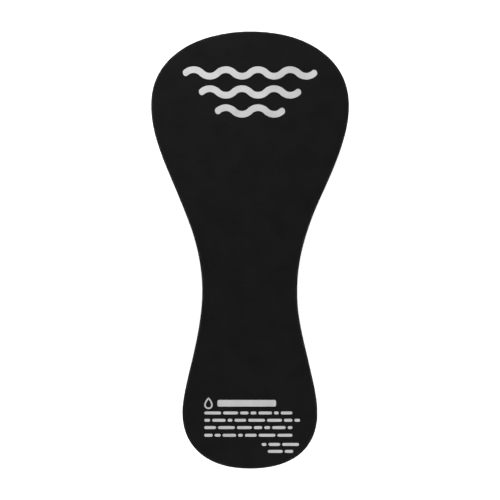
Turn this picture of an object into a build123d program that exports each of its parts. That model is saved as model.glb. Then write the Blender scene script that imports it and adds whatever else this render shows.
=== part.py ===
from build123d import *
from itertools import cycle, islice
import os

# Foam pull buoy: an hourglass block of laminated closed-cell foam, held between the thighs.
#
# The block lies on its plain back face. +Z points out of the printed front face, and +Y runs along the
# buoy towards its large lobe. The origin is under the middle of the block, on the back face.

# ---------------------------------------------------------------- driving dimensions, millimetres
overall_length = 240.0
large_lobe_half_width = 54.2
large_lobe_y = 78.6
waist_half_width = 26.1
waist_y = -22.4
small_lobe_half_width = 37.0
small_lobe_y = -89.0

# How far each curve of the outline runs straight on before it turns, at either end of the curve
crown_reach = 23.5
shoulder_reach = 31.4
upper_flank_reach = 32.3
waist_upper_reach = 42.2
waist_lower_reach = 26.3
lower_flank_reach = 17.4
small_lobe_side_reach = 19.8
small_lobe_end_reach = 22.9

slab_names = ["back_slab", "rear_core_slab", "centre_slab", "front_core_slab", "front_slab"]
slab_thickness = 28.0
film_thickness = 0.2
rim_radius = 1.2
layer_pitch = slab_thickness + film_thickness
front_face_z = len(slab_names) * slab_thickness + (len(slab_names) - 1) * film_thickness

ink_thickness = 0.15

# Wave mark: rows of alternating arcs, printed on the large lobe
wave_stroke = 3.6
wave_height = 1.8
wave_arc_chord = 8.8
wave_arc_counts = [8, 6, 4]
wave_top_y = 96.8
wave_row_pitch = 10.4

# Care panel: a drop, a heading bar and rows of dashes, printed on the small lobe
panel_left_x = -25.0
drop_radius = 2.3
drop_tip_radius = 0.4
drop_tip_rise = 3.6
drop_line_width = 0.8
drop_x = panel_left_x + drop_radius
heading_y = -83.8
drop_y = heading_y - (drop_tip_rise + drop_tip_radius - drop_radius) / 2
heading_left_x = -17.8
heading_length = 32.0
heading_height = 3.6
heading_corner_radius = 0.8
dash_height = 1.6
dash_gap = 1.1
dash_lengths = [9.2, 8.2, 4.6, 3.2, 7.4, 2.6, 6.4]
# Each row starts this many places further along the list, so that gaps don't line up down the panel
dash_shift = 3
text_rows = [(-89.1, 48.8), (-93.1, 52.4), (-97.1, 50.2), (-101.3, 48.6)]
tail_centre_x = 16.9
tail_rows = [(-106.3, 21.0), (-110.1, 14.4)]
dash_rows = [(panel_left_x, row_y, row_length) for row_y, row_length in text_rows]
dash_rows += [(tail_centre_x - row_length / 2, row_y, row_length) for row_y, row_length in tail_rows]

os.makedirs("parts", exist_ok=True)


def write(piece, name):
    """Labels a finished piece and writes its STEP file."""
    piece.label = name
    export_step(piece, f"parts/{name}.step")


# ---------------------------------------------------------------- outline shared by every layer
half_length = overall_length / 2

with BuildSketch() as outline:
    with BuildLine() as outline_line:
        Bezier(
            (0, half_length),
            (crown_reach, half_length),
            (large_lobe_half_width, large_lobe_y + shoulder_reach),
            (large_lobe_half_width, large_lobe_y),
        )
        Bezier(
            (large_lobe_half_width, large_lobe_y),
            (large_lobe_half_width, large_lobe_y - upper_flank_reach),
            (waist_half_width, waist_y + waist_upper_reach),
            (waist_half_width, waist_y),
        )
        Bezier(
            (waist_half_width, waist_y),
            (waist_half_width, waist_y - waist_lower_reach),
            (small_lobe_half_width, small_lobe_y + lower_flank_reach),
            (small_lobe_half_width, small_lobe_y),
        )
        Bezier(
            (small_lobe_half_width, small_lobe_y),
            (small_lobe_half_width, small_lobe_y - small_lobe_side_reach),
            (small_lobe_end_reach, -half_length),
            (0, -half_length),
        )
        mirror(about=Plane.YZ)
    make_face()

# ---------------------------------------------------------------- foam slabs, back to front
for layer, slab_name in enumerate(slab_names):
    with BuildPart() as slab:
        with BuildSketch(Plane.XY.offset(layer * layer_pitch)):
            add(outline.sketch)
        extrude(amount=slab_thickness)
        if slab_name == slab_names[0]:
            fillet(slab.faces().sort_by(Axis.Z)[0].edges(), radius=rim_radius)
        if slab_name == slab_names[-1]:
            fillet(slab.faces().sort_by(Axis.Z)[-1].edges(), radius=rim_radius)
    write(slab.part, slab_name)

# ---------------------------------------------------------------- adhesive films between the slabs
for layer in range(1, len(slab_names)):
    with BuildPart() as film:
        with BuildSketch(Plane.XY.offset(layer * layer_pitch - film_thickness)):
            add(outline.sketch)
        extrude(amount=film_thickness)
    write(film.part, f"bond_film_{layer}")


# ---------------------------------------------------------------- ink printed on the front face
def wave_row(arc_count, row_y):
    """One centred wave of alternating arcs, as a line along X at row_y."""
    start_x = -arc_count * wave_arc_chord / 2
    with BuildLine() as row:
        for arc in range(arc_count):
            SagittaArc(
                (start_x + arc * wave_arc_chord, row_y),
                (start_x + (arc + 1) * wave_arc_chord, row_y),
                wave_height * (-1) ** arc,
            )
    return row.line


def dash_places(row, left_x, row_length):
    """The (centre, length) of each word-like dash that fits in a row, left to right."""
    places = []
    x = left_x
    for length in islice(cycle(dash_lengths), row * dash_shift, None):
        fitted = min(length, left_x + row_length - x)
        if fitted <= dash_height:
            return places
        places.append((x + fitted / 2, fitted))
        x += fitted + dash_gap


with BuildPart() as wave_print:
    with BuildSketch(Plane.XY.offset(front_face_z)):
        for row, arcs in enumerate(wave_arc_counts):
            centre_line = wave_row(arcs, wave_top_y - row * wave_row_pitch)
            trace(centre_line, line_width=wave_stroke)
            with Locations(centre_line @ 0, centre_line @ 1):
                Circle(wave_stroke / 2)
    extrude(amount=ink_thickness)
write(wave_print.part, "wave_print")

with BuildSketch() as drop:
    Circle(drop_radius)
    with Locations((0, drop_tip_rise)):
        Circle(drop_tip_radius)
    make_hull()
    offset(amount=-drop_line_width, mode=Mode.SUBTRACT)

with BuildPart() as care_print:
    with BuildSketch(Plane.XY.offset(front_face_z)):
        with Locations((drop_x, drop_y)):
            add(drop.sketch)
        with Locations((heading_left_x + heading_length / 2, heading_y)):
            RectangleRounded(heading_length, heading_height, heading_corner_radius)
        for row, (left_x, row_y, row_length) in enumerate(dash_rows):
            for centre_x, length in dash_places(row, left_x, row_length):
                with Locations((centre_x, row_y)):
                    SlotOverall(length, dash_height)
    extrude(amount=ink_thickness)
write(care_print.part, "care_print")
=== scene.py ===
"""Foam pull buoy: laminated EVA foam with a screen-printed face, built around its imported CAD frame.

The buoy lies on its back face. +Z leaves the printed face, and +Y points at the large lobe.
Lengths are metres, as in the frame, and sizes that a maker would give in millimetres are times MM.
"""

import logging
import math
from collections.abc import Callable, Mapping, Sequence
from dataclasses import dataclass, field
from enum import Enum
from functools import partial

import bpy
from bpy.types import ID, Material, Mesh, Node, NodeSocket, NodeTree, Object
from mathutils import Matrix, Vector


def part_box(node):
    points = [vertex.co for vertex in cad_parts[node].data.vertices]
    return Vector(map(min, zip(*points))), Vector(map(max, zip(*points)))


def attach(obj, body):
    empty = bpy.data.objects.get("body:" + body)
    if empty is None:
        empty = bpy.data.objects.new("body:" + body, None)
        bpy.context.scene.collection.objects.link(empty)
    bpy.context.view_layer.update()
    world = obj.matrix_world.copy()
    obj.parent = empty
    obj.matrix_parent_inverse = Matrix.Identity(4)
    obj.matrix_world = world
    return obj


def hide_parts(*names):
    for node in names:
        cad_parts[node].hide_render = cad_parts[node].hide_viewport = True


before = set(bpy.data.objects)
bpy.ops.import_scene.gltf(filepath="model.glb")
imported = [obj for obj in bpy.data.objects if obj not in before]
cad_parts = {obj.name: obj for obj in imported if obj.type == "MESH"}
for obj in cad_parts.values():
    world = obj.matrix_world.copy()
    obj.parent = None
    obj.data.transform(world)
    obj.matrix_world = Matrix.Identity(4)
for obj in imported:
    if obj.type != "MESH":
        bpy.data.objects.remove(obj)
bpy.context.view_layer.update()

MM = 0.001
MERGE_DISTANCE = 0.002 * MM
# A face looks straight up if its normal's Z is more than this
UPRIGHT = 0.9
BODY = "root"
log = logging.getLogger("pull_buoy")

# The kinds of node that are used most
INTEGER_MATH = "FunctionNodeIntegerMath"
VECTOR_MATH = "ShaderNodeVectorMath"
COMBINE = "ShaderNodeCombineXYZ"
SEPARATE = "ShaderNodeSeparateXYZ"
MAP_RANGE = "ShaderNodeMapRange"
MIX = "ShaderNodeMixRGB"
NOISE = "ShaderNodeTexNoise"
GROUP = "GeometryNodeGroup"
MOVE = "GeometryNodeSetPosition"
INSTANCES = "GeometryNodeInstanceOnPoints"
STORE = "GeometryNodeStoreNamedAttribute"
STORED = "GeometryNodeInputNamedAttribute"

SOCKET_KINDS = {int: "Int", float: "Float", tuple: "Vector", Object: "Object", Material: "Material"}
Socket = NodeSocket | Node | float | int | bool | str | tuple | ID
Adder = Callable[..., Node]
# Two ends of a range, and the range of a noise or a share
Band = tuple[float, float]
WHOLE: Band = (0.0, 1.0)


def linear(colour: str) -> tuple[float, float, float, float]:
    """Turns an sRGB hex colour such as "#101010" into linear RGBA."""
    shares = [int(colour[place : place + 2], 16) / 255 for place in (1, 3, 5)]
    return (*(c / 12.92 if c <= 0.04045 else ((c + 0.055) / 1.055) ** 2.4 for c in shares), 1.0)


def add_node(
    tree: NodeTree,
    kind: str,
    inputs: Mapping[str, Socket] | Sequence[Socket] = (),
    **settings: object,
) -> Node:
    """Adds one node with its settings, and sets or links its inputs.

    Args:
        tree: the tree that the node joins.
        kind: the node's type name, or a scalar maths operation such as "MULTIPLY".
        inputs: what each input takes, by name or in order: a value, a socket, or a node's first output.
        settings: the node's own properties.

    Returns:
        the new node.
    """
    if kind.isupper():
        kind, settings["operation"] = "ShaderNodeMath", kind
    node = tree.nodes.new(kind)
    for name, value in settings.items():
        setattr(node, name, value)
    for place, value in inputs.items() if isinstance(inputs, Mapping) else enumerate(inputs):
        if isinstance(value, Node):
            value = value.outputs[0]
        if isinstance(value, NodeSocket):
            tree.links.new(value, node.inputs[place])
        else:
            node.inputs[place].default_value = value
    return node


def new_tree(
    name: str, given: Mapping[str, object], made: Mapping[str, str]
) -> tuple[NodeTree, Adder, Mapping[str, NodeSocket]]:
    """Starts a Geometry Nodes tree.

    Args:
        name: the tree's name.
        given: each input's name, with its socket type or a value of that type.
        made: each output's name and socket type.

    Returns:
        the tree, a function that adds a node to it, and its inputs by name.
    """
    tree = bpy.data.node_groups.new(name, "GeometryNodeTree")
    for side, sockets in (("INPUT", given), ("OUTPUT", made)):
        for label, kind in sockets.items():
            kind = kind if isinstance(kind, str) else SOCKET_KINDS[type(kind)]
            tree.interface.new_socket(label, in_out=side, socket_type=f"NodeSocket{kind}")
    add = partial(add_node, tree)
    return tree, add, add("NodeGroupInput").outputs


def dress(add: Adder, mesh: Socket, material: Socket, flat_top: bool = False) -> None:
    """Ends a tree with welded, smooth, real geometry in its material.

    Args:
        add: the function that adds a node to the tree.
        mesh: the geometry to finish.
        material: the material that it gets.
        flat_top: whether the faces that look straight up are shaded flat.
    """
    welded = add("GeometryNodeMergeByDistance", {"Geometry": mesh, "Distance": MERGE_DISTANCE})
    shaded = add("GeometryNodeSetShadeSmooth", {"Geometry": welded})
    if flat_top:
        # Or the shoulders' turn would spread over the top, and the ink would look puffed
        facing = add(SEPARATE, (add("GeometryNodeInputNormal"),))
        heights = {"A": facing.outputs["Z"], "B": UPRIGHT}
        top = add("FunctionNodeCompare", heights, operation="GREATER_THAN")
        flat = {"Geometry": shaded, "Selection": top, "Shade Smooth": False}
        shaded = add("GeometryNodeSetShadeSmooth", flat)
    real = add("GeometryNodeRealizeInstances", {"Geometry": shaded})
    dressed = add("GeometryNodeSetMaterial", {"Geometry": real, "Material": material})
    add("NodeGroupOutput", {"Geometry": dressed})


def labelled(sizes: object) -> dict[str, object]:
    """Reads a dataclass's plain fields as a tree's inputs, so that line_depth becomes "Line depth".

    Args:
        sizes: the dataclass.

    Returns:
        each number and material, by its label.
    """
    return {
        name.replace("_", " ").capitalize(): value
        for name, value in vars(sizes).items()
        if isinstance(value, (int, float, Material))
    }


def grow(tree: NodeTree, piece_name: str, seed_mesh: Mesh, values: Mapping[str, object]) -> Object:
    """Runs a tree on a mesh and keeps the result as a plain mesh object.

    Args:
        tree: the Geometry Nodes tree.
        piece_name: the name of the object to make.
        seed_mesh: the mesh that the tree starts from.
        values: each of the tree's inputs by name, with its value.

    Returns:
        the finished object, at the origin, with no modifier.
    """
    piece = bpy.data.objects.new(piece_name, seed_mesh)
    bpy.context.scene.collection.objects.link(piece)
    modifier = piece.modifiers.new(tree.name, "NODES")
    modifier.node_group = tree
    places = {s.name: s.identifier for s in tree.interface.items_tree if s.in_out == "INPUT"}
    for label, value in values.items():
        modifier[places[label]] = value
    depsgraph = bpy.context.evaluated_depsgraph_get()
    finished = bpy.data.meshes.new_from_object(
        piece.evaluated_get(depsgraph), preserve_all_data_layers=True, depsgraph=depsgraph
    )
    finished.name = piece_name
    # Set Material puts an empty slot in front of the one that it fills
    material = finished.materials[-1]
    finished.materials.clear()
    finished.materials.append(material)
    piece.modifiers.remove(modifier)
    piece.data = finished
    return piece


def declare(piece: Object, node: str) -> None:
    """Seats a finished piece on the buoy, in the place of its CAD node.

    Args:
        piece: the finished object.
        node: the CAD node that it stands for.
    """
    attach(piece, BODY)
    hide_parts(node)


# ---------------------------------------------------------------------------------------- finishes


class Finish:
    """A real surface as a material: constants on the shader's own sockets, and patterns for the rest."""

    TITLE = ""
    CONSTANTS: Mapping[str, float | tuple[float, ...]] = {}

    def title(self) -> str:
        """Returns the material's name."""
        return self.TITLE

    def patterns(self, add: Adder) -> dict[str, Node]:
        """Builds the patterns; each finish has its own.

        Args:
            add: the function that adds a node to the material's tree.

        Returns:
            the node that feeds each of the shader's sockets, by the socket's name.
        """
        raise NotImplementedError

    def material(self) -> Material:
        """Makes the finish.

        Returns:
            the new material.
        """
        material = bpy.data.materials.new(self.title())
        material.use_nodes = True
        tree = material.node_tree
        shader = tree.nodes["Principled BSDF"]
        for socket, value in self.CONSTANTS.items():
            shader.inputs[socket].default_value = value
        for socket, node in self.patterns(partial(add_node, tree)).items():
            tree.links.new(node.outputs[0], shader.inputs[socket])
        return material


@dataclass(frozen=True)
class FoamColours:
    """A foam's record slot and hex colours: a skived face's two, a cut wall's and a scuffed edge's."""

    slot: str
    shade: str
    tint: str
    cut: str
    scuffed: str


class FoamTone(Enum):
    """The foam sheets that the maker laminates."""

    BLACK = FoamColours("black_foam", shade="#0d0d0d", tint="#121212", cut="#1c1c1d", scuffed="#3a3a3b")
    CHARCOAL = FoamColours(
        "charcoal_foam", shade="#3a3b3d", tint="#424345", cut="#4b4c4f", scuffed="#67686b"
    )


@dataclass(frozen=True)
class EvaFoam(Finish):
    """Closed-cell EVA foam, skived flat on its faces and cut through on its walls by a hot wire.

    Skiving opens the cells to a dense, dead matte grain. The wire leaves the wall a little greyer, with
    open cells, pinholes and faint lines that run the way it stood. Handling scuffs the edges paler.
    """

    tone: FoamTone
    mottle_pitch: float = 11 * MM
    # Real cells are 0.1 to 0.3 mm across and drawn at 0.9 mm, the finest that shows
    cell_pitch: float = 0.9 * MM
    cell_depth: float = 0.16 * MM
    # Pinholes are larger bubbles that the cut opened, a few to a square centimetre
    pinhole_pitch: float = 4 * MM
    pinhole_depth: float = 0.3 * MM
    # How far from its middle a hollow's side starts and ends, as shares of its pitch
    cell_side: Band = (0.15, 0.6)
    pinhole_side: Band = (0.05, 0.13)
    # How much of the light a hollow gives back
    cell_light: float = 0.7
    pinhole_light: float = 0.35
    wire_line_pitch: float = 2.2 * MM
    wire_line_depth: float = 0.1 * MM
    # How far the wire lines stretch along the wire, as a share of their pitch across it
    wire_line_squash: float = 0.04
    scuff_pitch: float = 3.5 * MM
    # Between which levels of its noise each mark comes in, and how strongly
    mottle_band: Band = (0.25, 0.6)
    wire_band: Band = (0.3, 0.7)
    wire_strength: Band = (0.75, 1.0)
    scuff_band: Band = (0.4, 0.65)
    scuff_strength: Band = (0.3, 2.4)
    # The face is pressed smooth, so its cells and pinholes show this much as strongly as the wall's
    face_share: float = 0.3
    roughness: Band = (0.82, 0.94)

    # Light sinks into the open cells, so almost no gloss is left
    CONSTANTS = {"IOR": 1.48, "Specular IOR Level": 0.06, "Sheen Weight": 0.03, "Sheen Roughness": 0.6}

    def title(self) -> str:
        """Returns the material's name."""
        return f"skived_eva_foam_{self.tone.name.lower()}"

    def patterns(self, add: Adder) -> dict[str, Node]:
        """Draws the foam's mottle, cells, pinholes, wire lines and scuffed edges.

        Args:
            add: the function that adds a node to the material's tree.

        Returns:
            the nodes that feed the shader's colour, roughness and normal.
        """
        colours = self.tone.value
        place = add("ShaderNodeTexCoord").outputs["Object"]
        stretch = {"Vector": place, "Scale": (1.0, 1.0, self.wire_line_squash)}
        along_wire = add("ShaderNodeMapping", stretch)
        mottle, scuffs, wire = (
            add(NOISE, {"Vector": where, "Scale": 1 / pitch, "Detail": 3.0})
            for where, pitch in zip(
                (place, place, along_wire), (self.mottle_pitch, self.scuff_pitch, self.wire_line_pitch)
            )
        )
        cells, bubbles = (
            add("ShaderNodeTexVoronoi", {"Vector": place, "Scale": 1 / pitch})
            for pitch in (self.cell_pitch, self.pinhole_pitch)
        )

        # Zero on a skived face, one on a cut wall, and halfway on the turn between them
        wall = add("ShaderNodeAttribute", attribute_name=Layer.WALL).outputs["Fac"]
        openness = add(MAP_RANGE, (wall, *WHOLE, self.face_share))
        off_wall = add("SUBTRACT", (1.0, wall))
        turn = add("MULTIPLY", (wall, off_wall))
        # Each is zero in the middle of its hollow and one outside it
        cell = add(MAP_RANGE, (cells, *self.cell_side))
        pinhole = add(MAP_RANGE, (bubbles, *self.pinhole_side))

        grain = add(MAP_RANGE, (mottle, *self.mottle_band))
        streak = add(MAP_RANGE, (wire, *self.wire_band, *self.wire_strength))
        patches = add(MAP_RANGE, (scuffs, *self.scuff_band, *self.scuff_strength))
        cut_share = add("MULTIPLY", (wall, streak))
        scuff_share = add("MULTIPLY", (turn, patches))
        coats = ((grain, colours.tint), (cut_share, colours.cut), (scuff_share, colours.scuffed))
        colour = linear(colours.shade)
        for share, over in coats:
            colour = add(MIX, (share, colour, linear(over)))
        cell_light, hole_light = (
            add(MAP_RANGE, (hollow, *WHOLE, darkest))
            for hollow, darkest in ((cell, self.cell_light), (pinhole, self.pinhole_light))
        )
        light = add("MULTIPLY", (cell_light, hole_light))
        shaded = add(MIX, (openness, colour, light), blend_type="MULTIPLY")

        rough = add(MAP_RANGE, (mottle, *WHOLE, *self.roughness))

        # The relief is summed in metres
        relief = 0.0
        depths = (self.cell_depth, self.pinhole_depth, self.wire_line_depth)
        for part, depth in zip((cell, pinhole, wire), depths):
            relief = add("MULTIPLY_ADD", (part, depth, relief))
        shown = add("MULTIPLY", (relief, openness))
        bump = add("ShaderNodeBump", {"Height": shown, "Distance": 1.0, "Strength": 1.0})
        return {"Base Color": shaded, "Roughness": rough, "Normal": bump}


@dataclass(frozen=True)
class HotMeltFilm(Finish):
    """Hot-melt adhesive film, pressed between the sheets: a thin, waxy grey line that catches light."""

    slot: str = "bond_film"
    colours: tuple[str, str] = ("#5c5a55", "#7b7871")
    clot_pitch: float = 4 * MM
    roughness: Band = (0.3, 0.55)

    TITLE = "hot_melt_adhesive_film"
    CONSTANTS = {"IOR": 1.5}

    def patterns(self, add: Adder) -> dict[str, Node]:
        """Draws the film's thick and thin places.

        Args:
            add: the function that adds a node to the material's tree.

        Returns:
            the nodes that feed the shader's colour and roughness.
        """
        place = add("ShaderNodeTexCoord").outputs["Object"]
        clots = add(NOISE, {"Vector": place, "Scale": 1 / self.clot_pitch, "Detail": 2.0})
        colour = add(MIX, (clots, *map(linear, self.colours)))
        rough = add(MAP_RANGE, (clots, *WHOLE, *self.roughness))
        return {"Base Color": colour, "Roughness": rough}


@dataclass(frozen=True)
class ScreenInk(Finish):
    """Light grey plastisol ink, screen-printed and cured: even, satin, with a faint print of the mesh."""

    slot: str = "print_ink"
    colours: tuple[str, str] = ("#aaaaaa", "#c7c7c7")
    # A 40-thread screen has a thread each 0.25 mm, drawn at 0.6 mm so that it shows
    thread_pitch: float = 0.6 * MM
    thread_depth: float = 0.015 * MM
    cloud_pitch: float = 9 * MM
    # How much the threads' print adds to the clouds
    thread_share: float = 0.25
    roughness: Band = (0.4, 0.62)

    TITLE = "screen_printed_plastisol_ink"
    CONSTANTS = {"IOR": 1.5, "Specular IOR Level": 0.4}
    # A wave texture at scale 1 repeats each 2 pi / 20
    WAVE_PERIOD = math.tau / 20

    def patterns(self, add: Adder) -> dict[str, Node]:
        """Draws the print of the screen's threads, and clouds where the ink lies thicker.

        Args:
            add: the function that adds a node to the material's tree.

        Returns:
            the nodes that feed the shader's colour, roughness and normal.
        """
        place = add("ShaderNodeTexCoord").outputs["Object"]
        threads = {"Vector": place, "Scale": self.WAVE_PERIOD / self.thread_pitch}
        across, along = (add("ShaderNodeTexWave", threads, bands_direction=axis) for axis in ("X", "Y"))
        mesh = add("MULTIPLY", (across, along))
        clouds = add(NOISE, {"Vector": place, "Scale": 1 / self.cloud_pitch, "Detail": 2.0})
        laid = add("MULTIPLY_ADD", (mesh, self.thread_share, clouds))
        colour = add(MIX, (laid, *map(linear, self.colours)))
        rough = add(MAP_RANGE, (clouds, *WHOLE, *self.roughness))
        printed = add("ShaderNodeBump", {"Height": mesh, "Distance": self.thread_depth})
        return {"Base Color": colour, "Roughness": rough, "Normal": printed}


class LitAcrylic(Finish):
    """Opal acrylic sheet of a light table: white, and lit from below so that shadows stay pale."""

    TITLE = "opal_acrylic_light_table"
    CONSTANTS = {
        "Base Color": linear("#f2f2f2"),
        "Roughness": 0.9,
        "Specular IOR Level": 0.1,
        "Emission Color": linear("#ffffff"),
        "Emission Strength": 0.7,
    }

    def patterns(self, add: Adder) -> dict[str, Node]:
        """Leaves the sheet plain."""
        return {}


# ---------------------------------------------------------------------------------------- relief


@dataclass(frozen=True)
class Relief:
    """Smooth noise that a tree adds up into one depth, the same on every run."""

    seed: float

    def depth(
        self, add: Adder, place: Socket, waves: Sequence[tuple[float, Socket]], start: float = 0.0
    ) -> Node:
        """Adds up layers of noise.

        Args:
            add: the function that adds a node to the tree.
            place: where the noise is read.
            waves: each layer's pitch and its greatest depth.
            start: the depth to start from.

        Returns:
            the node that gives the depth.
        """
        depth = start
        for pitch, most in waves:
            wave = {"Vector": place, "W": self.seed, "Scale": 1 / pitch, "Detail": 1.0}
            depth = add("MULTIPLY_ADD", (add(NOISE, wave, noise_dimensions="4D"), most, depth))
        return depth


@dataclass(frozen=True)
class SkivedFace(Relief):
    """How far a skived face dips under its true plane: slow waves from the blade, and a fine grain."""

    seed: float = 3.0
    wave_pitch: float = 42 * MM
    wave_depth: float = 0.25 * MM
    grain_pitch: float = 5 * MM
    grain_depth: float = 0.04 * MM

    def tree(self) -> NodeTree:
        """Makes the tree that turns a position on the face into the depth of its dip.

        Returns:
            the new tree.
        """
        tree, add, given = new_tree("Skived face dip", {"Position": "Vector"}, {"Depth": "Float"})
        waves = ((self.wave_pitch, self.wave_depth), (self.grain_pitch, self.grain_depth))
        add("NodeGroupOutput", {"Depth": self.depth(add, given["Position"], waves)})
        return tree


@dataclass(frozen=True)
class WireCutWall(Relief):
    """How far a cut wall strays from its true outline: the wire wanders slowly and leaves fine lines.

    The wire stands along Z, so the wall hardly changes with height and runs on through every sheet.
    """

    seed: float = 11.0
    wander_pitch: float = 48 * MM
    wander_depth: float = 1.2 * MM
    line_pitch: float = 3.2 * MM
    # How far the dips stretch along the wire, as a share of their pitch across it
    squash: float = 0.03

    def tree(self) -> NodeTree:
        """Makes the tree that turns a position on the wall into how far inside the outline it lies.

        Returns:
            the new tree.
        """
        tree, add, given = new_tree(
            "Wire-cut wall", {"Position": "Vector", "Line depth": "Float"}, {"Depth": "Float"}
        )
        place = add(VECTOR_MATH, (given["Position"], (1.0, 1.0, self.squash)), operation="MULTIPLY")
        waves = ((self.wander_pitch, self.wander_depth), (self.line_pitch, given["Line depth"]))
        # Noise averages a half, so the wander starts half its depth outside the outline
        depth = self.depth(add, place, waves, start=-self.wander_depth / 2)
        add("NodeGroupOutput", {"Depth": depth})
        return tree


# ---------------------------------------------------------------------------------------- the foam block


@dataclass(frozen=True)
class Hourglass:
    """The outline that every layer shares: cubic curves between its widest and narrowest places.

    Each reach is how far a curve runs straight on before it turns, at that end of the curve.
    """

    half_length: float
    large_half_width: float
    large_y: float = 78.6 * MM
    waist_half_width: float = 26.1 * MM
    waist_y: float = -22.4 * MM
    small_half_width: float = 37.0 * MM
    small_y: float = -89.0 * MM
    crown_reach: float = 23.5 * MM
    shoulder_reach: float = 31.4 * MM
    upper_flank_reach: float = 32.3 * MM
    waist_upper_reach: float = 42.2 * MM
    waist_lower_reach: float = 26.3 * MM
    lower_flank_reach: float = 17.4 * MM
    small_side_reach: float = 19.8 * MM
    small_end_reach: float = 22.9 * MM
    steps_per_curve: int = 64

    def knots(self) -> list[tuple[Vector, Vector, Vector]]:
        """Lists the knots of the outline, anticlockwise from the middle of the large lobe's end.

        Returns:
            each knot with its two handles.
        """
        end, crown, foot = self.half_length, self.crown_reach, self.small_end_reach
        top = ((0, end), (crown, end), (-crown, end))
        bottom = ((0, -end), (-foot, -end), (foot, -end))
        sides = (
            (self.large_half_width, self.large_y, self.shoulder_reach, self.upper_flank_reach),
            (self.waist_half_width, self.waist_y, self.waist_upper_reach, self.waist_lower_reach),
            (self.small_half_width, self.small_y, self.lower_flank_reach, self.small_side_reach),
        )
        left = [((-x, y), (-x, y + above), (-x, y - below)) for x, y, above, below in sides]
        right = [((x, y), (x, y - below), (x, y + above)) for x, y, above, below in reversed(sides)]
        return [tuple(Vector((*point, 0)) for point in knot) for knot in (top, *left, bottom, *right)]

    def curve(self) -> Object:
        """Draws the outline in the plane Z = 0.

        Returns:
            the closed curve.
        """
        data = bpy.data.curves.new("outline", "CURVE")
        data.dimensions = "3D"
        data.resolution_u = self.steps_per_curve
        spline = data.splines.new("BEZIER")
        knots = self.knots()
        spline.bezier_points.add(len(knots) - 1)
        spline.use_cyclic_u = True
        for point, (middle, before, after) in zip(spline.bezier_points, knots):
            point.handle_left_type = point.handle_right_type = "FREE"
            point.co, point.handle_left, point.handle_right = middle, before, after
        curve = bpy.data.objects.new("outline", data)
        bpy.context.scene.collection.objects.link(curve)
        return curve


class LayerKind(Enum):
    """What a layer is, with the word that starts its piece's name."""

    SHEET = "foam"
    FILM = "glue"


@dataclass(frozen=True)
class Layer:
    """One layer of the block, a foam sheet or a bond film, and how finely its mesh is stepped."""

    WALL = "wall"

    kind: LayerKind
    node: str
    slot: str
    material: Material
    low_edge_radius: float
    high_edge_radius: float
    low_dips: float = 0.0
    high_dips: float = 0.0
    low_pinch: float = 0.0
    high_pinch: float = 0.0
    inset: float = 0.0
    line_depth: float = 0.0
    steps_across: int = 6
    steps_per_edge: int = 4
    steps_up: int = 28

    def inputs(self) -> dict[str, object]:
        """Reads the layer's inputs for the layer tree, with its heights from its CAD node.

        Returns:
            each value, by its label.
        """
        low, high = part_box(self.node)
        return {**labelled(self), "Low Z": low.z, "High Z": high.z}


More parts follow.
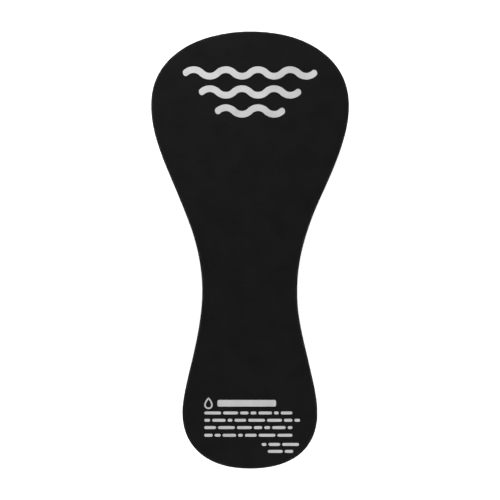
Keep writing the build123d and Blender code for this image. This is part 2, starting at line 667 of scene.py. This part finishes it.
@dataclass(frozen=True)
class FoamBlock:
    """The laminated block: five foam sheets, with a bond film between each pair.

    Each layer's mesh is a grid wrapped round the outline, from the middle of its low face out over the
    low edge, up the wall, over the high edge and in again. Its two ends close along a spine on the
    face's long axis.
    """

    face_dip: NodeTree
    sheets: tuple[tuple[str, FoamTone], ...] = (
        ("back_slab", FoamTone.BLACK),
        ("rear_core_slab", FoamTone.CHARCOAL),
        ("centre_slab", FoamTone.BLACK),
        ("front_core_slab", FoamTone.CHARCOAL),
        ("front_slab", FoamTone.BLACK),
    )
    films: tuple[str, ...] = ("bond_film_1", "bond_film_2", "bond_film_3", "bond_film_4")
    rim_radius: float = 1.2 * MM
    seam_radius: float = 0.5 * MM
    seam_pinch: float = 0.35 * MM
    # The power of the curve that the wall follows into a seam
    seam_tightness: float = 5.0
    # The charcoal sheets are softer and shrink back this much further from the wire
    soft_inset: float = 0.15 * MM
    line_depth: float = 0.1 * MM
    film_radius: float = 0.05 * MM
    film_inset: float = 0.45 * MM
    film_line_depth: float = 0.35 * MM
    # How far the spine runs towards each end of the block, as a share of the way
    spine_share: float = 0.75
    steps_around: int = 720
    face_steps: int = 26
    wall_cut: WireCutWall = field(default_factory=WireCutWall)

    def tree(self, inputs: Mapping[str, object]) -> NodeTree:
        """Makes the tree that builds one layer.


        Returns:
            the new tree.
        """
        tree, add, given = new_tree("Foam layer", inputs, {"Geometry": "Geometry"})

        # The ring numbers where each stretch of the section ends: face, edge, wall, edge, face
        ends = [0]
        for stretch in ("Steps across", "Steps per edge", "Steps up", "Steps per edge", "Steps across"):
            ends.append(add(INTEGER_MATH, (ends[-1], given[stretch]), operation="ADD"))
        columns, rings = (
            add(INTEGER_MATH, (count, 1), operation="ADD") for count in (given["Steps around"], ends[-1])
        )
        grid = add("GeometryNodeMeshGrid", (1.0, 1.0, columns, rings))
        spot = add(SEPARATE, (add("GeometryNodeInputPosition"),))
        around = add("ADD", (spot.outputs["X"], 0.5))
        ring = add(MAP_RANGE, (spot.outputs["Y"], -0.5, 0.5, 0.0, ends[-1]))
        low_face, low_edge, wall, high_edge, high_face = (
            add(MAP_RANGE, (ring, start, end)) for start, end in zip(ends, ends[1:])
        )

        # The section: height and inset, with a quarter circle at each edge
        low_turn, high_turn = (add("MULTIPLY", (edge, math.pi / 2)) for edge in (low_edge, high_edge))
        low_sine, high_sine, low_cosine, high_cosine = (
            add(ratio, (turn,)) for ratio in ("SINE", "COSINE") for turn in (low_turn, high_turn)
        )
        low_rise, low_tuck, high_tuck = (
            add("SUBTRACT", (1.0, share)) for share in (low_cosine, low_sine, high_cosine)
        )
        thickness = add("SUBTRACT", (given["High Z"], given["Low Z"]))
        radii = add("ADD", (given["Low edge radius"], given["High edge radius"]))
        straight = add("SUBTRACT", (thickness, radii))
        height = given["Low Z"]
        low_radius, high_radius = given["Low edge radius"], given["High edge radius"]
        for share, most in ((low_rise, low_radius), (wall, straight), (high_sine, high_radius)):
            height = add("MULTIPLY_ADD", (share, most, height))

        # A sheet swells a little once cut, except where glue holds it, so its wall is pinched at a seam
        low_pull, high_pull = (
            add("POWER", (add(MAP_RANGE, (wall, 0.5, end)), self.seam_tightness)) for end in WHOLE
        )
        curve = add("GeometryNodeObjectInfo", {"Object": given["Outline"]}).outputs["Geometry"]
        sample = {"Curves": curve, "Factor": around}
        outline = add("GeometryNodeSampleCurve", sample, mode="FACTOR", use_all_curves=True).outputs
        wall_spot = add(VECTOR_MATH, (outline["Position"], add(COMBINE, {"Z": height})), operation="ADD")
        cut = {"Position": wall_spot, "Line depth": given["Line depth"]}
        dip = add(GROUP, cut, node_tree=self.wall_cut.tree())
        inset = add("ADD", (given["Inset"], dip))
        for share, most in (
            (low_tuck, "Low edge radius"),
            (high_tuck, "High edge radius"),
            (low_pull, "Low pinch"),
            (high_pull, "High pinch"),
        ):
            inset = add("MULTIPLY_ADD", (share, given[most], inset))
        outward = add(VECTOR_MATH, (outline["Tangent"], (0.0, 0.0, 1.0)), operation="CROSS_PRODUCT")
        tucked = add(VECTOR_MATH, (outward, inset), operation="MULTIPLY")
        edge_spot = add(VECTOR_MATH, (outline["Position"], tucked), operation="SUBTRACT")

        # The spine's stations run evenly from one end to the other and back
        halfway = add("MULTIPLY_ADD", (around, 2.0, -1.0))
        from_foot = add("ABSOLUTE", (halfway,))
        station = add("MULTIPLY_ADD", (from_foot, 2.0, -1.0))
        spine_y = add("MULTIPLY", (station, given["Spine end"]))
        to_spine = add(VECTOR_MATH, (add(COMBINE, {"Y": spine_y}), edge_spot), operation="SUBTRACT")
        low_inward, off_low = (add("SUBTRACT", (1.0, share)) for share in (low_face, low_edge))
        inward = add("ADD", (low_inward, high_face))
        flat_spot = add(VECTOR_MATH, (to_spine, inward, edge_spot), operation="MULTIPLY_ADD")

        # Only the outer faces dip, and each dips into the foam
        face_dip = add(GROUP, {"Position": flat_spot}, node_tree=self.face_dip)
        low_share = add("MULTIPLY", (off_low, given["Low dips"]))
        high_share = add("MULTIPLY", (high_edge, given["High dips"]))
        lift = add("SUBTRACT", (low_share, high_share))
        dipped = add("MULTIPLY_ADD", (lift, face_dip, height))
        placed = add(VECTOR_MATH, (flat_spot, add(COMBINE, {"Z": dipped})), operation="ADD")

        on_wall = add("SUBTRACT", (low_edge, high_edge))
        marked = add(STORE, {"Geometry": grid, "Name": Layer.WALL, "Value": on_wall})
        dress(add, add(MOVE, {"Geometry": marked, "Position": placed}), given["Material"])
        return tree

    def sheet(self, place: int, node: str, tone: FoamTone, material: Material) -> Layer:
        """Sizes one foam sheet, with a rim round each outer face and a pinched edge at each seam.

        Args:
            place: its place in the block, counted from zero at the back.
            node: its CAD node.
            tone: its foam.
            material: that foam's material.

        Returns:
            the sheet.
        """
        back, front = place == 0, place == len(self.sheets) - 1
        return Layer(
            LayerKind.SHEET,
            node,
            tone.value.slot,
            material,
            low_edge_radius=self.rim_radius if back else self.seam_radius,
            high_edge_radius=self.rim_radius if front else self.seam_radius,
            low_dips=float(back),
            high_dips=float(front),
            low_pinch=0.0 if back else self.seam_pinch,
            high_pinch=0.0 if front else self.seam_pinch,
            inset=self.soft_inset if tone is FoamTone.CHARCOAL else 0.0,
            line_depth=self.line_depth,
            steps_across=self.face_steps if back or front else Layer.steps_across,
        )

    def layers(self) -> list[Layer]:
        """Sizes every layer and makes the materials.

        Returns:
            the sheets from back to front, and then the films.
        """
        foams = {tone: EvaFoam(tone).material() for tone in FoamTone}
        glue = HotMeltFilm().material()
        sheets = [
            self.sheet(place, node, tone, foams[tone]) for place, (node, tone) in enumerate(self.sheets)
        ]
        films = [
            Layer(
                LayerKind.FILM,
                node,
                HotMeltFilm.slot,
                glue,
                low_edge_radius=self.film_radius,
                high_edge_radius=self.film_radius,
                inset=self.film_inset,
                line_depth=self.film_line_depth,
                steps_per_edge=2,
                steps_up=1,
            )
            for node in self.films
        ]
        return sheets + films

    def build(self) -> list[Object]:
        """Builds and dresses every layer.

        Returns:
            the sheets and the films, as finished pieces.
        """
        layers = self.layers()
        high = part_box(layers[0].node)[1]
        outline = Hourglass(half_length=high.y, large_half_width=high.x).curve()
        shared = {
            "Outline": outline,
            "Spine end": self.spine_share * high.y,
            "Steps around": self.steps_around,
        }
        tree = self.tree({**shared, **layers[0].inputs()})
        pieces = []
        for layer in layers:
            start = bpy.data.meshes.new(layer.node)
            piece = grow(tree, f"{layer.kind.value}_{layer.node}", start, {**shared, **layer.inputs()})
            declare(piece, layer.node)
            pieces.append(piece)
        bpy.data.objects.remove(outline)
        return pieces


# ---------------------------------------------------------------------------------------- the print


@dataclass(frozen=True)
class InkStroke:
    """Ink laid along a curve on the dips of the face: a low bar with rounded ends and soft shoulders."""

    face_dip: NodeTree
    # How deep the ink bites into the foam, and how wide its edges slump
    sink: float = 0.05 * MM
    shoulder: float = 0.06 * MM

    def tree(self) -> NodeTree:
        """Makes the tree that lays the ink.

        Returns:
            the new tree.
        """
        tree, add, given = new_tree(
            "Ink stroke",
            {"Curve": "Geometry", "Width": "Float", "Corner": "Float", "Thickness": "Float"},
            {"Mesh": "Geometry"},
        )
        along = add("GeometryNodeSplineParameter").outputs["Length"]
        whole = add("GeometryNodeSplineLength").outputs["Length"]
        left = add("SUBTRACT", (whole, along))
        from_end = add("MINIMUM", (along, left))
        share = add(MAP_RANGE, (from_end, 0.0, given["Corner"]))
        rest = add("SUBTRACT", (2.0, share))
        square = add("MULTIPLY", (share, rest))
        round_share = add("SQRT", (square,))
        half = add("MULTIPLY", (given["Width"], 0.5))
        square_end = add("SUBTRACT", (half, given["Corner"]))
        half_here = add("MULTIPLY_ADD", (round_share, given["Corner"], square_end))
        narrowed = add("DIVIDE", (half_here, half))
        # A closed curve has no ends to narrow at
        scale = add("MAXIMUM", (narrowed, add("GeometryNodeInputSplineCyclic")))

        deep = add("ADD", (given["Thickness"], self.sink))
        bar = add("GeometryNodeCurvePrimitiveQuadrilateral", {"Width": given["Width"], "Height": deep})
        soft = {"Curve": bar, "Count": 2, "Radius": self.shoulder, "Limit Radius": True}
        section = add("GeometryNodeFilletCurve", soft, mode="POLY")
        level = add("GeometryNodeSetCurveNormal", {"Curve": given["Curve"]}, mode="Z_UP")
        laid = add(
            "GeometryNodeCurveToMesh",
            {"Curve": level, "Profile Curve": section, "Scale": scale, "Fill Caps": True},
        )
        spot = add(SEPARATE, (add("GeometryNodeInputPosition"),))
        flat = add(COMBINE, {"X": spot.outputs["X"], "Y": spot.outputs["Y"]})
        dip = add(GROUP, {"Position": flat}, node_tree=self.face_dip)
        proud = add("SUBTRACT", (given["Thickness"], self.sink))
        raised = add("MULTIPLY", (proud, 0.5))
        lift = add("SUBTRACT", (raised, dip))
        draped = add(MOVE, {"Geometry": laid, "Offset": add(COMBINE, {"Z": lift})})
        add("NodeGroupOutput", {"Mesh": draped})
        return tree


@dataclass(frozen=True)
class FacePrint:
    """A mark in ink on the front face, in the place of the CAD node NODE."""

    NODE = ""
    ROW_LENGTH = "row_length"

    stroke_tree: NodeTree
    material: Material

    def inputs(self, low: Vector, high: Vector) -> dict[str, object]:
        """Works out the inputs that depend on the CAD node; each mark has its own.

        Args:
            low: the low corner of the node's box.
            high: the high corner.

        Returns:
            each value, by its label.
        """
        raise NotImplementedError

    def tree(self, inputs: Mapping[str, object]) -> NodeTree:
        """Makes the tree that prints the mark; each mark has its own.


        Returns:
            the new tree.
        """
        raise NotImplementedError

    def start(self, face_z: float) -> Mesh:
        """Makes the mesh that the tree starts from, which is empty unless a mark says otherwise.

        Args:
            face_z: the height of the face.

        Returns:
            the new mesh.
        """
        return bpy.data.meshes.new(self.NODE)

    def build(self) -> list[Object]:
        """Prints the mark.

        Returns:
            the one finished piece.
        """
        low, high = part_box(self.NODE)
        inputs = {**labelled(self), **self.inputs(low, high), "Thickness": high.z - low.z}
        piece = grow(self.tree(inputs), f"ink_{self.NODE}", self.start(low.z), inputs)
        declare(piece, self.NODE)
        return [piece]


@dataclass(frozen=True)
class WaveMark(FacePrint):
    """The large lobe's mark: centred rows of alternating arcs, each row shorter than the last."""

    NODE = "wave_print"

    stroke: float = 3.6 * MM
    rise: float = 1.8 * MM
    chord: float = 8.8 * MM
    rows: int = 3
    arcs_in_top_row: int = 8
    arcs_fewer_each_row: int = 2
    row_pitch: float = 10.4 * MM
    steps: int = 240
    # The wave meets its row at 45 degrees, so half a stroke past both ends adds this share of it
    end_share: float = 0.71

    def inputs(self, low: Vector, high: Vector) -> dict[str, object]:
        """Returns where the rows start."""
        return {"Face Z": low.z, "Top Y": high.y - self.rise - self.stroke / 2}

    def tree(self, inputs: Mapping[str, object]) -> NodeTree:
        """Makes the tree that prints the rows.


        Returns:
            the new tree.
        """
        tree, add, given = new_tree("Wave rows", inputs, {"Geometry": "Geometry"})
        start = add(COMBINE, {"Y": given["Top Y"], "Z": given["Face Z"]})
        down = add("MULTIPLY", (given["Row pitch"], -1.0))
        line = {"Count": given["Rows"], "Start Location": start, "Offset": add(COMBINE, {"Y": down})}
        rows = add("GeometryNodeMeshLine", line)
        index = add("GeometryNodeInputIndex")
        fewer = add("MULTIPLY", (index, given["Arcs fewer each row"]))
        arcs = add("SUBTRACT", (given["Arcs in top row"], fewer))
        length = add("MULTIPLY", (arcs, given["Chord"]))
        measured = add(STORE, {"Geometry": rows, "Name": self.ROW_LENGTH, "Value": length})
        unit = add("GeometryNodeCurvePrimitiveLine", {"Start": (-0.5, 0.0, 0.0), "End": (0.5, 0.0, 0.0)})
        stepped = add("GeometryNodeResampleCurve", {"Curve": unit, "Count": given["Steps"]})
        # The stroke runs on by half its width past the last arc, where its round end needs room
        row_length = add(STORED, {"Name": self.ROW_LENGTH}, data_type="FLOAT")
        overrun = add("MULTIPLY_ADD", (given["Stroke"], given["End share"], row_length))
        stretch = add(COMBINE, {"X": overrun, "Y": 1.0, "Z": 1.0})
        placed = add(INSTANCES, {"Points": measured, "Instance": stepped, "Scale": stretch})
        lines = add("GeometryNodeRealizeInstances", {"Geometry": placed})

        # Each arc is a circle's cap, as high as the rise on its chord, above and below the row in turn
        half_chord = add("MULTIPLY", (given["Chord"], 0.5))
        chord_square = add("POWER", (half_chord, 2.0))
        rise_square = add("POWER", (given["Rise"], 2.0))
        squares = add("ADD", (chord_square, rise_square))
        twice_rise = add("MULTIPLY", (given["Rise"], 2.0))
        radius = add("DIVIDE", (squares, twice_rise))
        spot = add(SEPARATE, (add("GeometryNodeInputPosition"),))
        from_left = add("MULTIPLY_ADD", (row_length, 0.5, spot.outputs["X"]))
        chords = add("DIVIDE", (from_left, given["Chord"]))
        arc = add("FLOOR", (chords,))
        odd = add("FLOORED_MODULO", (arc, 2.0))
        side = add("MULTIPLY_ADD", (odd, -2.0, 1.0))
        arc_middle = add("ADD", (arc, 0.5))
        middle_chords = add("SUBTRACT", (chords, arc_middle))
        off_middle = add("MULTIPLY", (middle_chords, given["Chord"]))
        off_square = add("POWER", (off_middle, 2.0))
        radius_square = add("POWER", (radius, 2.0))
        up_square = add("SUBTRACT", (radius_square, off_square))
        above_centre = add("SQRT", (up_square,))
        centre_depth = add("SUBTRACT", (radius, given["Rise"]))
        above_row = add("SUBTRACT", (above_centre, centre_depth))
        swing = add("MULTIPLY", (above_row, side))
        waves = add(MOVE, {"Geometry": lines, "Offset": add(COMBINE, {"Y": swing})})
        stroke = {
            "Curve": waves,
            "Width": given["Stroke"],
            "Corner": add("MULTIPLY", (given["Stroke"], 0.5)),
            "Thickness": given["Thickness"],
        }
        dress(add, add(GROUP, stroke, node_tree=self.stroke_tree), given["Material"], flat_top=True)
        return tree


@dataclass(frozen=True)
class CarePanel(FacePrint):
    """The small lobe's panel: a drop and a heading bar over rows of word-like dashes."""

    NODE = "care_print"
    ROW = "row"
    DASH_START = "dash_start"
    DASH_LENGTH = "dash_length"
    # The drawn-in circle's half width, as a share of its radius
    WIDEST = 0.77

    # Each row's left end, Y and length; the last two share a middle
    rows: tuple[tuple[float, float, float], ...] = (
        (-25.0 * MM, -89.1 * MM, 48.8 * MM),
        (-25.0 * MM, -93.1 * MM, 52.4 * MM),
        (-25.0 * MM, -97.1 * MM, 50.2 * MM),
        (-25.0 * MM, -101.3 * MM, 48.6 * MM),
        (6.4 * MM, -106.3 * MM, 21.0 * MM),
        (9.7 * MM, -110.1 * MM, 14.4 * MM),
    )
    dash_lengths: tuple[float, ...] = (
        9.2 * MM, 8.2 * MM, 4.6 * MM, 3.2 * MM, 7.4 * MM, 2.6 * MM, 6.4 * MM,
    )
    dash_height: float = 1.6 * MM
    dash_gap: float = 1.1 * MM
    # Each row starts this many places further along the list, so that gaps don't line up down the panel
    dash_shift: int = 3
    dash_steps: int = 15
    # The heading's left end and its Y, which the drop shares
    heading_start: tuple[float, float] = (-17.8 * MM, -83.8 * MM)
    heading_length: float = 32.0 * MM
    heading_height: float = 3.6 * MM
    heading_corner: float = 0.8 * MM
    heading_steps: int = 41
    drop_line: float = 0.8 * MM
    drop_width: float = 4.6 * MM
    drop_height: float = 6.3 * MM
    drop_steps: int = 48

    def inputs(self, low: Vector, high: Vector) -> dict[str, object]:
        """Works out the middles of the heading and the drop, and numbers the dashes.

        Args:
            low: the low corner of the node's box.
            high: the high corner.

        Returns:
            each value, by its label.
        """
        left, top = self.heading_start
        longest = max(length for _, _, length in self.rows)
        return {
            **{f"Dash {number}": length for number, length in enumerate(self.dash_lengths, start=1)},
            "Dashes at most": math.ceil(longest / (min(self.dash_lengths) + self.dash_gap)),
            "Heading middle": (left + self.heading_length / 2, top, low.z),
            "Drop middle": (self.rows[0][0] + self.drop_width / 2, top, low.z),
        }

    def start(self, face_z: float) -> Mesh:
        """Makes a point at the left end of each row, which holds the row's length.

        Args:
            face_z: the height of the face.

        Returns:
            the new mesh.
        """
        mesh = bpy.data.meshes.new(self.NODE)
        mesh.from_pydata([(x, y, face_z) for x, y, _ in self.rows], [], [])
        lengths = mesh.attributes.new(self.ROW_LENGTH, "FLOAT", "POINT")
        lengths.data.foreach_set("value", [length for _, _, length in self.rows])
        return mesh

    def tree(self, inputs: Mapping[str, object]) -> NodeTree:
        """Makes the tree that prints the panel.


        Returns:
            the new tree.
        """
        inputs = {"Rows": "Geometry", **inputs}
        tree, add, given = new_tree("Care panel", inputs, {"Geometry": "Geometry"})

        # Every row gets more dashes than it can hold, each as long as the next one in the list
        numbers = {"Geometry": given["Rows"], "Name": self.ROW, "Value": add("GeometryNodeInputIndex")}
        numbered = add(STORE, numbers, data_type="INT")
        enough = {"Geometry": numbered, "Amount": given["Dashes at most"]}
        copies = add("GeometryNodeDuplicateElements", enough, domain="POINT")
        row = add(STORED, {"Name": self.ROW}, data_type="INT")
        steps = (row, given["Dash shift"], copies.outputs["Duplicate Index"])
        shifted = add(INTEGER_MATH, steps, operation="MULTIPLY_ADD")
        turn = add(INTEGER_MATH, (shifted, len(self.dash_lengths)), operation="MODULO")
        wished = add("GeometryNodeIndexSwitch", {"Index": turn}, data_type="FLOAT")
        for _ in self.dash_lengths[len(wished.index_switch_items) :]:
            wished.index_switch_items.new()
        for number in range(len(self.dash_lengths)):
            tree.links.new(given[f"Dash {number + 1}"], wished.inputs[str(number)])

        # A dash starts where those before it in its row end, and the last one is cut to fit
        taken = add("ADD", (wished, given["Dash gap"]))
        total = add("GeometryNodeAccumulateField", {"Value": taken, "Group ID": row}).outputs["Trailing"]
        row_length, before, length = (
            add(STORED, {"Name": name}, data_type="FLOAT")
            for name in (self.ROW_LENGTH, self.DASH_START, self.DASH_LENGTH)
        )
        room = add("SUBTRACT", (row_length, total))
        fitted = add("MINIMUM", (wished, room))
        dashes = copies
        for name, value in ((self.DASH_START, total), (self.DASH_LENGTH, fitted)):
            dashes = add(STORE, {"Geometry": dashes, "Name": name, "Value": value})
        lengths = {"A": length, "B": given["Dash height"]}
        too_short = add("FunctionNodeCompare", lengths, operation="LESS_EQUAL")
        kept = add("GeometryNodeDeleteGeometry", {"Geometry": dashes, "Selection": too_short})
        along = add("MULTIPLY_ADD", (length, 0.5, before))
        spaced = add(MOVE, {"Geometry": kept, "Offset": add(COMBINE, {"X": along})})

        # A line of length one, with its points crowded towards its ends, where the ink turns
        line = add("GeometryNodeCurvePrimitiveLine", {"End": (1.0, 0.0, 0.0)})
        share = add("GeometryNodeSplineParameter").outputs["Factor"]
        turned = add("MULTIPLY", (share, math.pi))
        cosine = add("COSINE", (turned,))
        crowded = add(COMBINE, {"X": add("MULTIPLY", (cosine, -0.5))})
        stepped = (
            add("GeometryNodeResampleCurve", {"Curve": line, "Count": given[steps]})
            for steps in ("Dash steps", "Heading steps")
        )
        dash_line, bar_line = (add(MOVE, {"Geometry": curve, "Position": crowded}) for curve in stepped)
        dash_scale, bar_scale = (
            add(COMBINE, {"X": size, "Y": 1.0, "Z": 1.0}) for size in (length, given["Heading length"])
        )
        words = add(INSTANCES, {"Points": spaced, "Instance": dash_line, "Scale": dash_scale})
        bar = {"Geometry": bar_line, "Translation": given["Heading middle"], "Scale": bar_scale}
        heading = add("GeometryNodeTransform", bar)

        # The drop is a circle whose halves draw together towards the top
        ring = {"Resolution": given["Drop steps"], "Radius": 1.0}
        circle = add("GeometryNodeCurvePrimitiveCircle", ring)
        spot = add(SEPARATE, (add("GeometryNodeInputPosition"),))
        below_top = add("MULTIPLY_ADD", (spot.outputs["Y"], -0.5, 0.5))
        drawn = add("SQRT", (below_top,))
        half_width = add("MULTIPLY", (spot.outputs["X"], drawn))
        pointed = add(COMBINE, {"X": half_width, "Y": spot.outputs["Y"]})
        line_width, line_height = (
            add("SUBTRACT", (given[size], given["Drop line"])) for size in ("Drop width", "Drop height")
        )
        wide = add("MULTIPLY", (line_width, 0.5 / self.WIDEST))
        tall = add("MULTIPLY", (line_height, 0.5))
        shape = {
            "Geometry": add(MOVE, {"Geometry": circle, "Position": pointed}),
            "Translation": given["Drop middle"],
            "Scale": add(COMBINE, {"X": wide, "Y": tall, "Z": 1.0}),
        }
        drop = add("GeometryNodeTransform", shape)

        rows = add("GeometryNodeRealizeInstances", {"Geometry": words})
        round_end = add("MULTIPLY", (given["Dash height"], 0.5))
        panel = add("GeometryNodeJoinGeometry")
        for curve, width, corner in (
            (rows, "Dash height", round_end),
            (heading, "Heading height", given["Heading corner"]),
            (drop, "Drop line", given["Drop line"]),
        ):
            size = {"Width": given[width], "Corner": corner, "Thickness": given["Thickness"]}
            ink = add(GROUP, {"Curve": curve, **size}, node_tree=self.stroke_tree)
            tree.links.new(ink.outputs[0], panel.inputs[0])
        dress(add, panel, given["Material"], flat_top=True)
        return tree


# ---------------------------------------------------------------------------------------- the studio


@dataclass(frozen=True)
class SoftBox:
    """A square softbox that shines at the middle of the buoy, with its power in watts."""

    name: str
    power: float
    place: tuple[float, float, float]
    size: float = 0.3

    def hang(self) -> None:
        """Hangs the softbox in its place."""
        lamp = bpy.data.lights.new(self.name, "AREA")
        lamp.energy = self.power
        lamp.size = self.size
        box = bpy.data.objects.new(self.name, lamp)
        box.location = self.place
        box.rotation_euler = (-Vector(self.place)).to_track_quat("-Z", "Y").to_euler()
        bpy.context.scene.collection.objects.link(box)


@dataclass(frozen=True)
class Studio:
    """A light table under soft white light, with the camera looking straight down at the printed face."""

    table_size: float = 8.0
    # The surround is white all round the horizon and dims towards the ceiling and the floor, where the
    # heights are sines of the angle from level
    horizon: float = 1.0
    horizon_height: float = 0.2
    ceiling: float = 0.08
    ceiling_height: float = 0.6
    boxes: tuple[SoftBox, ...] = (
        SoftBox("key_softbox", power=2.05, place=(-0.14, 0.34, 0.34)),
        SoftBox("fill_softbox", power=1.15, place=(0.12, -0.34, 0.32)),
    )
    lens: float = 100.0
    sensor: float = 36.0
    # How much of the picture's height the buoy's length fills
    share_of_height: float = 0.878

    def table(self) -> None:
        """Makes the light table's top, which the camera sees and which throws no light on the buoy."""
        half = self.table_size / 2
        mesh = bpy.data.meshes.new("light_table")
        corners = [(-half, -half, 0), (half, -half, 0), (half, half, 0), (-half, half, 0)]
        mesh.from_pydata(corners, [], [(0, 1, 2, 3)])
        mesh.materials.append(LitAcrylic().material())
        table = bpy.data.objects.new("light_table", mesh)
        table.visible_diffuse = False
        bpy.context.scene.collection.objects.link(table)

    def light(self) -> None:
        """Sets a white surround and hangs the softboxes."""
        world = bpy.data.worlds.new("white_surround")
        world.use_nodes = True
        tree = world.node_tree
        way = add_node(tree, "ShaderNodeTexCoord").outputs["Object"]
        up = add_node(tree, SEPARATE, (way,)).outputs["Z"]
        height = add_node(tree, "ABSOLUTE", (up,))
        fade = (height, self.horizon_height, self.ceiling_height, self.horizon, self.ceiling)
        glow = add_node(tree, MAP_RANGE, fade)
        surround = tree.nodes["Background"].inputs
        surround["Color"].default_value = linear("#ffffff")
        tree.links.new(glow.outputs[0], surround["Strength"])
        bpy.context.scene.world = world
        for box in self.boxes:
            box.hang()

    def camera(self) -> None:
        """Hangs the camera over the middle of the printed face, with the large lobe at the top."""
        low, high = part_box("front_slab")
        picture = (high.y - low.y) / self.share_of_height
        distance = picture * self.lens / self.sensor
        data = bpy.data.cameras.new("overhead")
        data.lens = self.lens
        data.sensor_width = self.sensor
        camera = bpy.data.objects.new("overhead", data)
        camera.location = ((low.x + high.x) / 2, (low.y + high.y) / 2, high.z + distance)
        bpy.context.scene.collection.objects.link(camera)
        bpy.context.scene.camera = camera

    def build(self) -> None:
        """Sets up the table, the light and the camera, with colours shown as they are."""
        self.table()
        self.light()
        self.camera()
        bpy.context.scene.view_settings.view_transform = "Standard"


def main() -> None:
    logging.basicConfig(level=logging.INFO, format="%(name)s: %(message)s")
    face_dip = SkivedFace().tree()
    Studio().build()
    stroke_tree = InkStroke(face_dip).tree()
    ink = ScreenInk().material()
    for assembly in (FoamBlock(face_dip), WaveMark(stroke_tree, ink), CarePanel(stroke_tree, ink)):
        for piece in assembly.build():
            finish = piece.data.materials[0].name
            log.info("%s: %d faces, finished as %s", piece.name, len(piece.data.polygons), finish)


if __name__ == "__main__":
    main()
